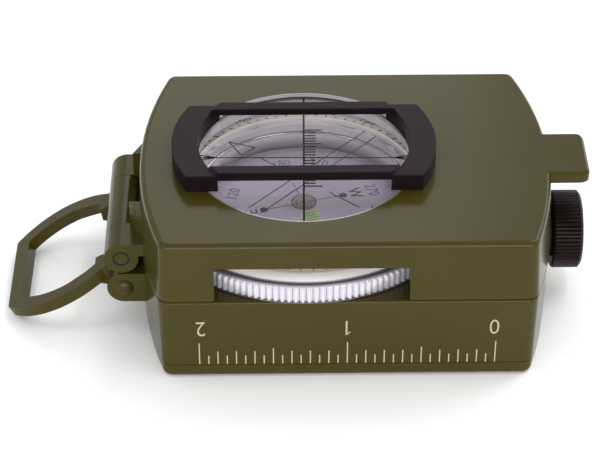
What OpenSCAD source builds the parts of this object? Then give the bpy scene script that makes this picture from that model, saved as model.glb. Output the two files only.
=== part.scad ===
// Liquid-filled marching compass in a die-cast case with a hinged lid.
// The origin is on the dial's axis, on the face that the case stands on.
// +X runs to the knob, +Y away from the ruler edge, +Z up through the dial.

/* [Case] */
// Front-to-back width at the lid's top
case_w = 53.3; // [50:0.1:60]
// Distance from the toothed rim to the outside of the hinge end
hinge_end_gap = 0.93; // [0.7:0.01:3]
// How far each end bows out beyond its corners
end_bulge = 4.4; // [4:0.1:6]
// Air between the bezel and the ring under the window
lid_room = 2.3; // [0.5:0.1:5]
// Height of the joint between the base and the lid
split_z = 16.6; // [16.4:0.1:17.4]
// Thickness of the bottom plate
plate_t = 2.8; // [2:0.1:3.4]
// How much wider the lid is at the joint than at its top, each side
lid_draft = 0.45; // [0.2:0.05:0.8]
// How much narrower the base is at its foot than at the joint, each side
base_draft = 0.3; // [0:0.05:0.5]
// Radius of the lid's top edge
edge_r = 1.0; // [0.5:0.1:1.4]
// Radius of the upright corners
corner_r = 1.8; // [1.2:0.1:3]
// Thickness of the lid's side walls
wall = 1.8; // [1.4:0.1:2.2]
// Thickness of the lid's top
top_wall = 2.0; // [1.6:0.1:2.4]

/* [Lid openings and tab] */
// Length of each side slot beyond the bezel's rim, towards the hinge
slot_spare_left = 2.4; // [1:0.1:6]
// Length of each side slot beyond the bezel's rim, towards the battery cap
slot_spare_right = 4.4; // [1:0.1:8]
// Height of the side slots above the joint
slot_h = 6.8; // [6:0.1:7.4]
// Width of the thumb tab
tab_w = 12.6; // [8:0.1:18]
// Reach of the thumb tab beyond the lid's end
tab_reach = 6.6; // [4:0.1:7]
// Thickness of the thumb tab
tab_t = 2.4; // [1.8:0.1:3]

/* [Window] */
// Radius of the window in the lid
window_r = 19.74; // [18.8:0.01:20.2]
// Depth of the glass below the lid's top
glass_recess = 0.7; // [0.4:0.1:0.9]
// Thickness of the window glass
window_glass_t = 0.75; // [0.6:0.05:1]
// Width of the lip that covers the glass's rim
window_lip = 0.8; // [0.6:0.1:0.9]
// Thickness of the bright lining of the window's hole
lining_t = 0.3; // [0.2:0.05:0.4]

/* [Magnifier] */
// How far the magnifier's end blocks reach in over the window
block_overhang = 1.24; // [0.5:0.01:2]
// Width of the magnifier's end blocks along the radius
block_w = 4.6; // [4.2:0.1:6]
// Height of the end blocks above the lid
block_h = 3.2; // [2.4:0.1:4]
// Distance from the middle to the outer face of each bar
bar_outer_y = 11.1; // [10:0.1:11.6]
// Width of each bar
bar_w = 2.3; // [1.8:0.1:2.6]
// Thickness of each bar
bar_t = 1.65; // [1.4:0.05:2.2]
// How far the bars stand above the end blocks
bar_step = 0.65; // [0.3:0.05:0.9]
// Space between each end of the lens and the end block
lens_end_gap = 1.5; // [0.5:0.1:3]
// Radius of the lens's crown
lens_crown_r = 75; // [70:1:120]

/* [Hinge] */
// Distance of the lid's pin beyond the case's left corners
hinge_out = 7.57; // [7.4:0.01:9]
// Height of the lid's pin below the joint
hinge_drop = 0.5; // [0.3:0.1:1]
// Outer radius of the hinge barrel
barrel_r = 3.0; // [2.6:0.1:3.2]
// Length of the hinge barrel
barrel_l = 27.8; // [26:0.1:32]
// Length of the barrel's middle knuckle
middle_l = 14.6; // [12:0.1:15]
// Radius of the lid's pin
lid_pin_r = 1.3; // [1:0.05:1.5]
// Radius of the thumb loop's pin
loop_pin_r = 1.1; // [0.9:0.05:1.3]
// Height of the thumb loop's pin above the ground
loop_pin_z = 9.8; // [9.6:0.1:10]
// Thickness of each ear that holds the loop's pin
ear_t = 2.25; // [1.8:0.05:2.6]

/* [Thumb loop] */
// Droop of the loop below level, at rest
loop_tilt = 29.8; // [26:0.1:31]
// Distance from the pin to the outer face of the loop's bar
loop_reach = 22.1; // [20:0.1:22.2]
// Half the loop's width across its two arms
loop_half_w = 13.9; // [13:0.1:15]
// Half the length of the loop's outer bar
bar_half_l = 9.46; // [8:0.01:10]
// Width of the loop's band
band_w = 2.75; // [2.2:0.05:3.2]
// Thickness of the loop's band
band_t = 2.2; // [1.8:0.1:2.4]
// Height of the band's top face above the pin
band_top = 4.07; // [3.8:0.01:4.3]
// Outer radius of the loop's eyes
eye_r = 2.6; // [2.2:0.1:2.8]
// Length of each eye along the pin
eye_l = 4.2; // [3:0.1:4.2]

/* [Bezel] */
// Outer radius of the toothed rim
rim_r = 27.8; // [27.6:0.1:28]
// Height of the toothed rim
rim_h = 3.45; // [3:0.05:3.6]
// Number of teeth on the rim
tooth_count = 150; // [120:1:160]
// Depth of the teeth
tooth_depth = 0.4; // [0.3:0.05:0.6]
// Thickness of the ring from its rim to the collar that it turns on
band_depth = 3.8; // [3.4:0.1:4.6]
// Thickness of the collar around the capsule
collar_wall = 5.0; // [4:0.1:6]
// Width of the polished shoulder
shoulder_w = 1.65; // [1:0.05:2]
// Height of the shoulder's top above the rim
shoulder_h = 1.05; // [0.8:0.05:1.2]
// Height of the scale's inner edge above its outer edge
scale_rise = 1.75; // [1.2:0.05:1.9]
// Width of the printed scale with its seat
scale_w = 4.8; // [4:0.1:5.4]
// Thickness of the bezel's glass
bezel_glass_t = 1.0; // [0.8:0.1:1.2]

/* [Capsule and dial] */
// Thickness of the capsule's wall
capsule_wall = 1.3; // [1.2:0.1:1.8]
// Height of the capsule's underside above the ground
capsule_z = 7.0; // [6:0.1:8]
// Height of the capsule's top above the case joint
capsule_rise = 4.5; // [4.2:0.1:4.6]
// Radius of the capsule glass's rounded shoulder
dome_r = 3.6; // [2.4:0.1:3.8]
// Space between the dial card's rim and the capsule's wall
card_gap = 0.4; // [0.3:0.1:2]
// Thickness of the dial card
card_t = 0.5; // [0.4:0.1:0.8]
// Height of the card's face below the capsule's top
card_drop = 3.2; // [2.8:0.1:3.4]
// Outer radius of the ring magnet
magnet_r = 7.5; // [6:0.5:10]
// Radius of the clear cap over the jewel
jewel_cap_r = 2.25; // [1.8:0.05:2.6]

/* [Battery cap] */
// Radius of the ribbed cap
cap_r = 6.95; // [6.4:0.05:7]
// Length of the ribbed cap
cap_l = 5.3; // [5:0.1:7]
// Number of ribs on the cap
rib_count = 60; // [40:1:72]
// Depth of the grooves between the ribs
rib_depth = 0.2; // [0.2:0.05:0.4]
// Radius of the cap's screwed stem
stem_r = 4.3; // [4.2:0.05:4.4]
// Radius of a button cell
cell_r = 3.95; // [3.9:0.05:4]
// Thickness of a button cell
cell_t = 3.6; // [3:0.1:3.8]
// Length of the cap's stem inside the case
stem_l = 4.25; // [3:0.05:6]
// Length of the lamp ahead of its bush
lamp_l = 4.2; // [3:0.1:6]
// Length of the lamp's bush
bush_l = 5.7; // [3:0.1:12]
// Height of the cap's axis above the ground
cap_z = 11.7; // [11.5:0.1:11.8]

/* [Hidden] */
$fn = 96;

// Clearances
run_fit = 0.05;
snug_fit = 0.02;
part_gap = 0.3;
joint_gap = 0.05;
knuckle_gap = 0.1;
side_gap = 0.25;
over = 1;

// Bezel
ring_gap = 0.15;
rim_z = split_z + ring_gap;
rim_top = rim_z + rim_h;
root_r = rim_r - tooth_depth;
land_r = root_r - 0.2;
core_r = root_r - 0.45;
rim_lip = 0.2;
rim_lip_inset = 0.06;
groove_w = 0.3;
groove_d = 0.35;
collar_r = rim_r - band_depth;
pocket_r = collar_r - collar_wall;
capsule_fit = 0.1;
capsule_r = pocket_r - capsule_fit;
shoulder_start = core_r - groove_w;
shoulder_steps = 8;
shoulder_crown = 0.4;
shoulder_r = shoulder_start - shoulder_w;
shoulder_top = rim_top + shoulder_h;
collar_top = rim_top - 0.2;
flange_z = collar_top + ring_gap;
flange_r = pocket_r + 0.25;
bezel_glass_r = shoulder_r - scale_w;
scale_outer_r = shoulder_r - 0.1;
scale_inner_r = bezel_glass_r + 0.05;
glass_pocket_r = bezel_glass_r + snug_fit;
scale_top = shoulder_top + scale_rise;
scale_t = 0.5;
bezel_glass_z = scale_top - bezel_glass_t - 0.15;
clip_wire_r = 0.4;
clip_z = rim_z + rim_h / 2;
clip_r = collar_r - 0.1;
clip_groove_h = 2 * clip_wire_r + 0.1;
clip_slot_h = clip_groove_h + 0.3;
clip_slot_r = clip_r + clip_wire_r + 0.2;

// Capsule and dial
capsule_top = split_z + capsule_rise;
capsule_split = split_z + 0.3;
capsule_inner = capsule_r - capsule_wall;
capsule_floor = capsule_z + 1.2;
capsule_top_t = 1.0;
seal_wire_r = 0.3;
seal_r = capsule_r - capsule_wall / 2;
card_r = capsule_inner - card_gap;
card_face = capsule_top - card_drop;
hub_r = 2.4;
hub_l = 1.6;
card_under = card_face - card_t;
magnet_t = 1.5;
pin_r = 0.6;
pin_foot_r = 1.4;
pin_foot_h = 1.0;
jewel_bore_r = pin_r + 0.1;
pin_tip_h = 0.9;
pin_top = card_under - 0.1;
jewel_cap_h = 0.9;
plug_r = 1.5;
plug_x = 10;

// Battery and lamp, from the capsule's well out to the cap
cell_bore_r = cell_r + 0.1;
cell_count = 2;
cell_gap = 0.2;
spring_l = 2.6;
spring_wire_r = 0.25;
spring_turns = 3;
spring_steps = 18;
lamp_r = 1.5;
lamp_x = pocket_r + 0.4;
bush_r = 3.0;
bush_x = lamp_x + lamp_l;
chamber_x = bush_x + bush_l;
cell_x = chamber_x + spring_l;
stem_end = cell_x + cell_count * cell_t + cell_gap;
seat_x = stem_end + stem_l;
seat_r = stem_r + 1.7;
seat_reach = 0.05;
seal_ring_r = 0.3;
cap_x = seat_x + 2 * seal_ring_r + 2 * snug_fit;

// Plan outline of the case
half_w = case_w / 2;
left_end = -rim_r - hinge_end_gap;
right_end = seat_x - lid_draft - seat_reach;
case_left = -left_end - end_bulge;
case_right = right_end - end_bulge;
arc_r = (half_w * half_w + end_bulge * end_bulge) / (2 * end_bulge);
left_arc_x = left_end + arc_r;
right_arc_x = right_end - arc_r;
arc_fn = 360;
arc_steps = 16;
corner_steps = 6;
edge_steps = 5;
mid_x = (case_right - case_left) / 2;
corner_y = half_w - corner_r;
corner_reach = sqrt(pow(arc_r - corner_r, 2) - corner_y * corner_y);
corner_x = right_arc_x - mid_x + corner_reach;
corner_angle = atan2(corner_y, corner_reach);
edge_break = 0.2;
joint_edge_r = 0.5;
foot_r = 1.2;
plate_inset = 0.1;

// Lid
boss_h = 0.9;
case_h = scale_top + lid_room + boss_h + top_wall;
lid_z = split_z + joint_gap;
ceiling_z = case_h - top_wall;
glass_top = case_h - glass_recess;
glass_bottom = glass_top - window_glass_t;
pane_r = window_r + window_lip;
lining_r = window_r + lining_t;
boss_w = 3.6;
boss_r = pane_r + boss_w;
boss_z = ceiling_z - boss_h;
window_frame_inner = window_r - 0.54;
rim_relief_r = rim_r + part_gap + 0.15;
rim_chord = sqrt(max(0, pow(rim_r + part_gap, 2) - pow(half_w - wall, 2)));
slot_left = rim_chord + slot_spare_left;
slot_right = rim_chord + slot_spare_right;
slot_corner_r = 0.8;
slot_low = split_z - over;
slot_overlap = 0.5;
slot_skew = 0.03;

// Hinge and thumb loop
hinge_x = -case_left - hinge_out;
hinge_z = split_z - hinge_drop;
barrel_half = barrel_l / 2;
middle_half = middle_l / 2;
knuckle_start = middle_half + knuckle_gap;
knuckle_w = barrel_half - knuckle_start;
barrel_relief = barrel_r + 0.2;
rib_half = middle_half - 0.7;
rib_notch = 4.5;
rib_gap = 0.8;
rib_x = 0.7;
rib_w = 1.3;
rib_high = barrel_r + 0.12;
rib_low = barrel_r - 0.4;
rib_relief = norm([rib_x + rib_w, rib_low]) + 0.2;
web_reach = 1.6;
gusset_out = 1.4;
gusset_drop = 4.5;
gusset_top = case_h - gusset_drop;
gusset_front = barrel_half - 0.5;
loop_x = hinge_x + 0.3;
ear_r = hinge_z - barrel_r - part_gap - loop_pin_z;
ear_inner = barrel_half - ear_t;
block_half = ear_inner - eye_l - 2 * side_gap;
block_bottom = loop_pin_z - ear_r;
rivet_r = loop_pin_r + 0.6;
rivet_h = 0.8;
rivet_dome_r = (rivet_r * rivet_r + rivet_h * rivet_h) / (2 * rivet_h);
eye_outer = ear_inner - side_gap;
eye_inner = eye_outer - eye_l;
lug_start = 1.5;
lug_end = 3.8;
lug_foot = 4.6;
arm_mid = loop_reach / 2;
arm_start = 1.6;
arm_rise = loop_half_w - bar_half_l;
arm_r = (pow(loop_reach - arm_mid, 2) + arm_rise * arm_rise) / (2 * arm_rise);
splay_end = 4.2;
splay_w = 2.4;

// Magnifier
block_inner_r = window_r - block_overhang;
block_outer_r = block_inner_r + block_w;
block_top = case_h + block_h;
bar_top = block_top + bar_step;
bar_z = bar_top - bar_t;
bar_inner_y = bar_outer_y - bar_w;
bar_root = 1.5;
lens_l = 2 * (sqrt(block_inner_r * block_inner_r - bar_inner_y * bar_inner_y) - lens_end_gap);
lens_groove = 0.4;
lens_fit = 0.05;
lens_half_w = bar_inner_y + lens_groove;
lens_flange_drop = 0.6;
lens_z = bar_z - 0.6;
lens_crown_z = bar_top - 0.05;
screw_pitch_r = (pane_r + block_outer_r) / 2 + 0.13;
screw_angle = 25;
mag_screw_r = 0.6;
mag_screw_head_r = 1.0;
mag_screw_head_h = 0.9;
mag_screw_cover = 0.9;

// Base casting and bottom plate
base_wall = 2.0;
deck_t = 2.2;
well_wall = 1.8;
well_floor_t = 1.6;
tube_r = cell_bore_r + 1.3;
post_r = 3.2;
plate_floor = 1.3;
plate_wall = 1.6;
screw_r = 1.2;
screw_head_r = 2.3;
screw_head_h = 1.3;
screw_l = 7.5;
screw_inset = 5.4;
screw_x = [-case_left + screw_inset, case_right - screw_inset];
screw_y = half_w - screw_inset;

// Colours
paint = [0.36, 0.34, 0.24];
black = [0.14, 0.12, 0.13];
steel = [0.72, 0.72, 0.74];
chrome = [0.85, 0.85, 0.88];
cream = [0.80, 0.78, 0.70];
clear = [0.85, 0.90, 0.92, 0.35];

// Points of one end of the case in plan, from its front corner to its back corner
function end_points(grow) = [
    for (i = [0 : corner_steps])
        let (a = -90 + (90 - corner_angle) * i / corner_steps)
        [corner_x, -corner_y] + (corner_r + grow) * [cos(a), sin(a)],
    for (i = [1 : arc_steps - 1])
        let (a = corner_angle * (2 * i / arc_steps - 1))
        [corner_x - corner_reach, 0] + (arc_r + grow) * [cos(a), sin(a)],
    for (i = [0 : corner_steps])
        let (a = corner_angle + (90 - corner_angle) * i / corner_steps)
        [corner_x, corner_y] + (corner_r + grow) * [cos(a), sin(a)]
];

// Outline of the case in plan, grown outwards, at the height z
function case_ring(z, grow) = [
    for (p = end_points(grow)) [mid_x + p[0], p[1], z],
    for (p = end_points(grow)) [mid_x - p[0], -p[1], z]
];

// Drafted body with rounded corners and edges, from levels of [height, growth]
module case_body(levels) {
    n = len(case_ring(0, 0));
    last = len(levels) - 1;
    polyhedron(
        points = [for (l = levels) each case_ring(l[0], l[1])],
        faces = concat(
            [[for (i = [0 : n - 1]) i]],
            [[for (i = [n - 1 : -1 : 0]) last * n + i]],
            [for (k = [0 : last - 1])
                for (i = [0 : n - 1])
                    [k * n + i, (k + 1) * n + i, (k + 1) * n + (i + 1) % n, k * n + (i + 1) % n]
            ]
        )
    );
}

// Sharp outline of the case in plan, drawn in by the thickness of a wall
module case_plan(side_inset, end_inset) {
    intersection() {
        translate([left_end, -half_w + side_inset])
            square([right_end - left_end, case_w - 2 * side_inset]);
        translate([left_arc_x, 0])
            circle(r = arc_r - end_inset, $fn = arc_fn);
        translate([right_arc_x, 0])
            circle(r = arc_r - end_inset, $fn = arc_fn);
    }
}

// Cylinder along Y, centred on an axis in the XZ plane
module cross_cylinder(x, z, r, y_low, y_high) {
    translate([x, y_high, z])
        rotate([90, 0, 0])
            cylinder(r = r, h = y_high - y_low);
}

// Profile in the XZ plane, extruded along Y
module cross_profile(y_low, y_high) {
    translate([0, y_high, 0])
        rotate([90, 0, 0])
            linear_extrude(y_high - y_low)
                children();
}

// Cylinder along X from x_low, on the battery's axis
module axial_cylinder(x_low, length, r) {
    translate([x_low, 0, cap_z])
        rotate([0, 90, 0])
            cylinder(r = r, h = length);
}

module base_body() {
    case_body([
        [plate_t, lid_draft - base_draft - edge_break],
        [plate_t + edge_break, lid_draft - base_draft],
        for (i = [0 : edge_steps])
            let (a = 90 * i / edge_steps)
            [split_z - joint_edge_r * (1 - sin(a)), lid_draft - joint_edge_r * (1 - cos(a))]
    ]);
}

// Knuckle and block that carry both hinge pins at the case's end
module hinge_block() {
    cross_cylinder(hinge_x, hinge_z, barrel_r, -middle_half, middle_half);
    for (span = [[-rib_half, rib_notch - rib_gap / 2], [rib_notch + rib_gap / 2, rib_half]])
        cross_profile(span[0], span[1])
            translate([hinge_x + rib_x, hinge_z])
                polygon([[0, 0], [rib_w, 0], [rib_w, rib_low], [0, rib_high]]);
    cross_profile(-block_half, block_half)
        polygon([
            [hinge_x, hinge_z], [loop_x - ear_r, loop_pin_z + 1], [loop_x - ear_r, loop_pin_z],
            [loop_x, block_bottom], [left_end + 2, block_bottom], [left_end + 2, split_z - joint_edge_r],
            [hinge_x + barrel_r, hinge_z]
        ]);
    cross_cylinder(loop_x, loop_pin_z, ear_r, -block_half, block_half);
    for (side = [-1, 1])
        translate([0, side * (barrel_half - ear_t / 2), 0]) {
            cross_cylinder(loop_x, loop_pin_z, ear_r, -ear_t / 2, ear_t / 2);
            cross_profile(-ear_t / 2, ear_t / 2)
                translate([loop_x, block_bottom])
                    square([left_end + 3 - loop_x, 2 * ear_r]);
        }
}

// Flat-topped boss that the battery cap closes against
module cap_seat() {
    intersection() {
        axial_cylinder(right_end - 2, seat_x - right_end + 2, seat_r);
        translate([0, -case_w / 2, 0])
            cube([seat_x + over, case_w, split_z - joint_edge_r]);
    }
}

// Room under the deck, around the capsule's well, the battery tube and the screw posts
module base_hollow() {
    difference() {
        translate([0, 0, plate_t - over])
            linear_extrude(split_z - deck_t - plate_t + over)
                case_plan(base_wall, base_wall);
        translate([0, 0, capsule_z - well_floor_t])
            cylinder(r = pocket_r + well_wall, h = case_h, $fn = 180);
        axial_cylinder(pocket_r, right_end - pocket_r, tube_r);
        for (x = screw_x)
            for (y = [-screw_y, screw_y])
                translate([x, y, 0])
                    cylinder(r = post_r, h = case_h, $fn = 48);
    }
}

module base_housing() {
    color(paint)
        difference() {
            union() {
                base_body();
                translate([0, 0, split_z - over])
                    cylinder(r = collar_r, h = collar_top - split_z + over, $fn = 180);
                cap_seat();
                hinge_block();
            }
            base_hollow();
            translate([0, 0, capsule_z])
                cylinder(r = pocket_r, h = case_h, $fn = 180);
            translate([0, 0, clip_z - clip_groove_h / 2])
                difference() {
                    cylinder(r = collar_r + over, h = clip_groove_h, $fn = 180);
                    cylinder(r = clip_r - clip_wire_r - snug_fit, h = clip_groove_h, $fn = 180);
                }
            cross_cylinder(hinge_x, hinge_z, lid_pin_r + run_fit, -barrel_half - over, barrel_half + over);
            cross_cylinder(loop_x, loop_pin_z, loop_pin_r + snug_fit, -barrel_half - over, barrel_half + over);
            for (side = [-1, 1]) {
                low = side > 0 ? middle_half : -barrel_half - 0.2;
                cross_cylinder(hinge_x, hinge_z, barrel_relief, low, low + barrel_half + 0.2 - middle_half);
            }
            axial_cylinder(stem_end - 0.1, stem_l + over, stem_r + run_fit);
            axial_cylinder(chamber_x, stem_end - chamber_x, cell_bore_r);
            axial_cylinder(pocket_r - over, chamber_x - pocket_r + 2 * over, lamp_r + snug_fit);
            axial_cylinder(bush_x, bush_l + over, bush_r + snug_fit);
            for (x = screw_x)
                for (y = [-screw_y, screw_y])
                    translate([x, y, plate_t - over])
                        cylinder(r = screw_r + snug_fit, h = screw_l - plate_t + over + 0.3, $fn = 32);
        }
}

module bottom_plate() {
    foot_grow = lid_draft - base_draft - plate_inset;
    color(paint)
        difference() {
            case_body([
                for (i = [0 : edge_steps])
                    let (a = 90 - 90 * i / edge_steps)
                    [foot_r * (1 - sin(a)), foot_grow - foot_r * (1 - cos(a))],
                [plate_t - edge_break, foot_grow],
                [plate_t, foot_grow - edge_break]
            ]);
            difference() {
                translate([0, 0, plate_floor])
                    linear_extrude(plate_t)
                        case_plan(base_wall + plate_wall, base_wall + plate_wall);
                for (x = screw_x)
                    for (y = [-screw_y, screw_y])
                        translate([x, y, 0])
                            cylinder(r = post_r, h = case_h, $fn = 48);
            }
            for (x = screw_x)
                for (y = [-screw_y, screw_y])
                    translate([x, y, 0]) {
                        translate([0, 0, -over])
                            cylinder(r = screw_r + 0.1, h = plate_t + 2 * over, $fn = 32);
                        translate([0, 0, -0.01])
                            cylinder(r1 = screw_head_r + 0.1, r2 = screw_r + 0.1, h = screw_head_h + 0.1, $fn = 32);
                    }
        }
}

module bottom_screws() {
    color(steel)
        for (x = screw_x)
            for (y = [-screw_y, screw_y])
                translate([x, y, 0.1])
                    difference() {
                        union() {
                            cylinder(r1 = screw_head_r, r2 = screw_r, h = screw_head_h, $fn = 32);
                            cylinder(r = screw_r, h = screw_l - 0.1, $fn = 32);
                        }
                        for (turn = [0, 90])
                            rotate([0, 0, turn])
                                translate([-screw_head_r * 0.6, -0.25, -over])
                                    cube([screw_head_r * 1.2, 0.5, over + 0.6]);
                    }
}

module lid_body() {
    case_body([
        [lid_z, lid_draft - edge_break],
        [lid_z + edge_break, lid_draft],
        for (i = [0 : edge_steps])
            let (a = 90 * i / edge_steps)
            [case_h - edge_r * (1 - sin(a)), -edge_r * (1 - cos(a))]
    ]);
}

module thumb_tab() {
    tab_edge = 0.45;
    tab_corner = 1.4;
    tab_x = right_end - 3;
    reach = tab_reach + 3;
    hull()
        for (x = [tab_corner, reach - tab_corner])
            for (y = [-1, 1])
                translate([tab_x + x, y * (tab_w / 2 - tab_corner), case_h - tab_t]) {
                    cylinder(r1 = tab_corner - tab_edge, r2 = tab_corner, h = tab_edge, $fn = 32);
                    translate([0, 0, tab_edge])
                        cylinder(r = tab_corner, h = tab_t - 2 * tab_edge, $fn = 32);
                    translate([0, 0, tab_t - tab_edge])
                        cylinder(r1 = tab_corner, r2 = tab_corner - tab_edge, h = tab_edge, $fn = 32);
                }
}

// Outer knuckles and the corner gussets that tie them to the lid's end
module lid_knuckles() {
    for (side = [-1, 1])
        mirror([0, side < 0 ? 1 : 0, 0]) {
            cross_cylinder(hinge_x, hinge_z, barrel_r, knuckle_start, barrel_half);
            translate([hinge_x, knuckle_start, hinge_z])
                cube([barrel_r, knuckle_w, barrel_r]);
            translate([hinge_x, knuckle_start, lid_z])
                cube([left_end + web_reach - hinge_x, knuckle_w, hinge_z + barrel_r - lid_z]);
            translate([0, 0, lid_z])
                linear_extrude(gusset_top - lid_z)
                    polygon([
                        [left_end + web_reach, knuckle_start], [hinge_x + gusset_out, knuckle_start],
                        [left_end + web_reach - 0.4, gusset_front], [left_end + web_reach + 0.4, gusset_front]
                    ]);
        }
}

// Opening in a side wall, with the lid's lower corners rounded into it
module slot_profile() {
    curve_r = slot_corner_r;
    translate([-slot_left, slot_low])
        square([slot_left + slot_right, slot_h + split_z - slot_low]);
    for (side = [-1, 1])
        translate([side < 0 ? -slot_left : slot_right, 0])
            mirror([side < 0 ? 1 : 0, 0])
                difference() {
                    translate([-slot_overlap, slot_low])
                        square([curve_r + slot_overlap, curve_r + lid_z - slot_low]);
                    translate([curve_r - slot_skew, lid_z + curve_r - slot_skew])
                        circle(r = curve_r, $fn = 48);
                }
}

module magnifier_screw_places() {
    for (x = [-1, 1])
        for (y = [-1, 1])
            translate([x * screw_pitch_r * cos(screw_angle), y * screw_pitch_r * sin(screw_angle), 0])
                children();
}

module lid_shell() {
    color(paint)
        difference() {
            union() {
                difference() {
                    union() {
                        lid_body();
                        thumb_tab();
                    }
                    translate([0, 0, lid_z - over])
                        linear_extrude(ceiling_z - lid_z + over)
                            case_plan(wall, wall);
                }
                translate([0, 0, boss_z])
                    cylinder(r = boss_r, h = ceiling_z - boss_z + 0.5, $fn = 180);
                lid_knuckles();
            }
            translate([0, 0, boss_z - over])
                cylinder(r = lining_r, h = case_h, $fn = 180);
            translate([0, 0, boss_z - over])
                cylinder(r = pane_r, h = glass_top - boss_z + over, $fn = 180);
            translate([0, 0, lid_z - over])
                cylinder(r = rim_relief_r, h = rim_top - lid_z + part_gap + 0.2 + over, $fn = 180);
            cross_profile(-case_w, case_w)
                slot_profile();
            cross_cylinder(hinge_x, hinge_z, lid_pin_r + snug_fit, -barrel_half - over, barrel_half + over);
            cross_cylinder(hinge_x, hinge_z, rib_relief, -middle_half - 0.05, middle_half + 0.05);
            magnifier_screw_places() {
                translate([0, 0, boss_z - over])
                    cylinder(r = mag_screw_r + 0.05, h = case_h, $fn = 32);
                translate([0, 0, boss_z - over])
                    cylinder(r = mag_screw_head_r + 0.1, h = mag_screw_head_h + 0.1 + over, $fn = 32);
            }
        }
}

module lid_hinge_pin() {
    color(steel)
        cross_cylinder(hinge_x, hinge_z, lid_pin_r, -barrel_half, barrel_half);
}

module window_glass() {
    color(clear)
        translate([0, 0, glass_bottom])
            cylinder(r = pane_r - snug_fit, h = window_glass_t - 0.01, $fn = 180);
}

module window_frame() {
    color(chrome)
        translate([0, 0, boss_z])
            difference() {
                cylinder(r = pane_r - snug_fit, h = glass_bottom - boss_z - 0.01, $fn = 180);
                translate([0, 0, -over])
                    cylinder(r = window_frame_inner, h = case_h, $fn = 180);
            }
}

module window_lining() {
    lining_low = 0.05;
    color(chrome)
        translate([0, 0, glass_top])
            difference() {
                cylinder(r = lining_r - snug_fit, h = glass_recess - lining_low, $fn = 180);
                translate([0, 0, -over])
                    cylinder(r = window_r, h = case_h, $fn = 180);
            }
}

module magnifier_frame() {
    color(black)
        difference() {
            union() {
                intersection() {
                    translate([0, 0, case_h])
                        difference() {
                            cylinder(r = block_outer_r, h = block_h, $fn = 180);
                            translate([0, 0, -over])
                                cylinder(r = block_inner_r, h = block_h + 2 * over, $fn = 180);
                        }
                    translate([-case_w, -bar_outer_y, case_h])
                        cube([2 * case_w, 2 * bar_outer_y, block_h]);
                }
                for (side = [-1, 1])
                    intersection() {
                        translate([-case_w, side > 0 ? bar_inner_y : -bar_outer_y, bar_z])
                            cube([2 * case_w, bar_w, bar_t]);
                        translate([0, 0, bar_z]) {
                            cylinder(r = block_inner_r + bar_root, h = bar_t - bar_step, $fn = 180);
                            translate([0, 0, bar_t - bar_step])
                                cylinder(r1 = block_inner_r + 0.4, r2 = block_inner_r - 0.1, h = bar_step, $fn = 180);
                        }
                    }
            }
            translate([-lens_l / 2 - lens_fit, -lens_half_w - lens_fit, bar_z - over])
                cube([
                    lens_l + 2 * lens_fit, 2 * (lens_half_w + lens_fit),
                    lens_crown_z - lens_flange_drop + lens_fit - bar_z + over
                ]);
            magnifier_screw_places()
                translate([0, 0, case_h - over])
                    cylinder(r = mag_screw_r + snug_fit, h = over + block_h - mag_screw_cover + 0.1, $fn = 32);
        }
}

module magnifier_lens() {
    color(clear)
        intersection() {
            translate([-lens_l / 2, -lens_half_w, lens_z])
                cube([lens_l, 2 * lens_half_w, lens_crown_z - lens_z]);
            translate([0, 0, lens_crown_z - lens_crown_r])
                sphere(r = lens_crown_r, $fn = 360);
            union() {
                translate([-lens_l, -bar_inner_y + lens_fit, lens_z])
                    cube([2 * lens_l, 2 * (bar_inner_y - lens_fit), lens_crown_z]);
                translate([-lens_l, -lens_half_w, lens_z])
                    cube([2 * lens_l, 2 * lens_half_w, lens_crown_z - lens_z - lens_flange_drop]);
            }
        }
}

module magnifier_screws() {
    color(steel)
        magnifier_screw_places() {
            translate([0, 0, boss_z + 0.05])
                cylinder(r = mag_screw_head_r, h = mag_screw_head_h, $fn = 32);
            translate([0, 0, boss_z + 0.05])
                cylinder(r = mag_screw_r, h = block_top - mag_screw_cover - boss_z - 0.1, $fn = 32);
        }
}

// Plan of the loop's band: bowed arms, a straight outer bar, open to the hinge
module loop_plan() {
    difference() {
        intersection() {
            intersection_for(side = [-1, 1])
                translate([-arm_mid, side * (arm_r - loop_half_w)])
                    circle(r = arm_r, $fn = 360);
            translate([-loop_reach, -loop_half_w])
                square([loop_reach - arm_start, 2 * loop_half_w]);
        }
        intersection() {
            intersection_for(side = [-1, 1])
                translate([-arm_mid, side * (arm_r - loop_half_w)])
                    circle(r = arm_r - band_w, $fn = 360);
            polygon([
                [0, eye_inner], [-arm_start - 0.3, eye_inner], [-splay_end, eye_inner + splay_w],
                [-loop_reach + band_w, loop_half_w], [-loop_reach + band_w, -loop_half_w],
                [-splay_end, -eye_inner - splay_w], [-arm_start - 0.3, -eye_inner], [0, -eye_inner]
            ]);
        }
    }
}

module loop_eye() {
    cross_cylinder(0, 0, eye_r, eye_inner, eye_outer);
    cross_profile(eye_inner, eye_outer)
        polygon([
            [0, eye_r], [-lug_start, band_top], [-lug_end, band_top],
            [-lug_foot, band_top - band_t], [-eye_r, 0], [0, 0]
        ]);
}

module thumb_loop() {
    color(paint)
        translate([loop_x, 0, loop_pin_z])
            rotate([0, -loop_tilt, 0])
                difference() {
                    union() {
                        translate([0, 0, band_top - band_t])
                            linear_extrude(band_t)
                                loop_plan();
                        for (side = [-1, 1])
                            mirror([0, side < 0 ? 1 : 0, 0])
                                loop_eye();
                    }
                    cross_cylinder(0, 0, loop_pin_r + run_fit, -barrel_half, barrel_half);
                    for (y = [-barrel_half - over, eye_outer])
                        cross_cylinder(0, 0, ear_r + part_gap, y, y + barrel_half + over - eye_outer);
                }
}

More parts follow.
